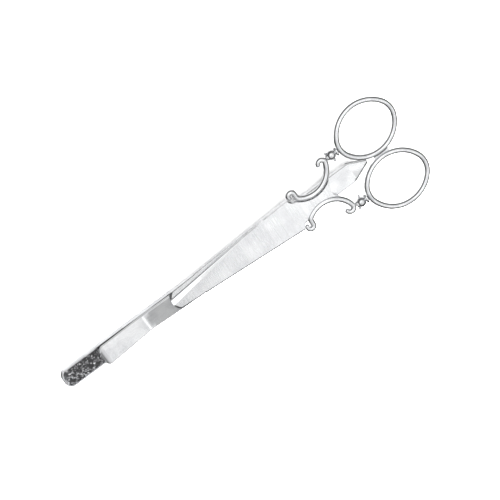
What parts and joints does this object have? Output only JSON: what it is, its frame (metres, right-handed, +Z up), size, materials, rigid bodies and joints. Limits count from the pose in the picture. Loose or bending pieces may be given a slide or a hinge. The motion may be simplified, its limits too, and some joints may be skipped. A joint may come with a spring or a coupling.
{
  "type": "scissors-shaped tie clip",
  "caption": "Small spring clip shaped like a pair of scissors: a flat strip and a hinged rear bar grip fabric between them, with finger bows and scrolled arms at the handle end.",
  "frame": {"origin": "middle of the clip on the surface it lies on, on the strip's centre line", "axes": "+X towards the finger bows, +Z up, the front of the clip; the clip lies on its bar's tip and thumb pad, so its strip slopes up by 2.6 degrees towards the bows"},
  "size_m": [0.0741, 0.0216, 0.0062],
  "materials": {
    "plated_strip": "satin, rhodium-tone plating over brass sheet, polished edges",
    "blade_satin": "satin brushed across the blade, bevels and edges polished",
    "polished_handle": "mirror polished plating",
    "pin_steel": "bright drawn steel",
    "spring_steel": "bright spring wire",
    "plated_bar": "polished plating",
    "pebbled_liner": "dark embossed sheet, pebbled, worn bright on its high spots"
  },
  "bodies": {
    "front": {"front_strip": "plated_strip", "back_blade": "blade_satin", "front_blade": "blade_satin", "left_scroll_arm": "polished_handle", "right_scroll_arm": "polished_handle", "left_knop": "polished_handle", "right_knop": "polished_handle", "knop_beads": "polished_handle", "left_bow": "polished_handle", "right_bow": "polished_handle", "bow_bridge": "polished_handle", "blade_rivets": "plated_strip", "pivot_bracket": "plated_strip", "pivot_pin": "pin_steel", "pin_washers": "pin_steel", "torsion_spring": "spring_steel"},
    "lever": {"rear_bar": "plated_bar", "thumb_pad": "plated_bar", "grip_liner": "pebbled_liner", "spring_sleeve": "pin_steel"}
  },
  "joints": [
    {"name": "lever_hinge", "type": "hinge", "parent": "front", "child": "lever", "pos_m": [-0.00255, 0, 0.00166], "axis": [0, -1, 0], "range_deg": [0, 12], "stiffness_Nm_per_rad": 0.004, "springref_deg": -28.65, "deforming": ["torsion_spring"]}
  ]
}
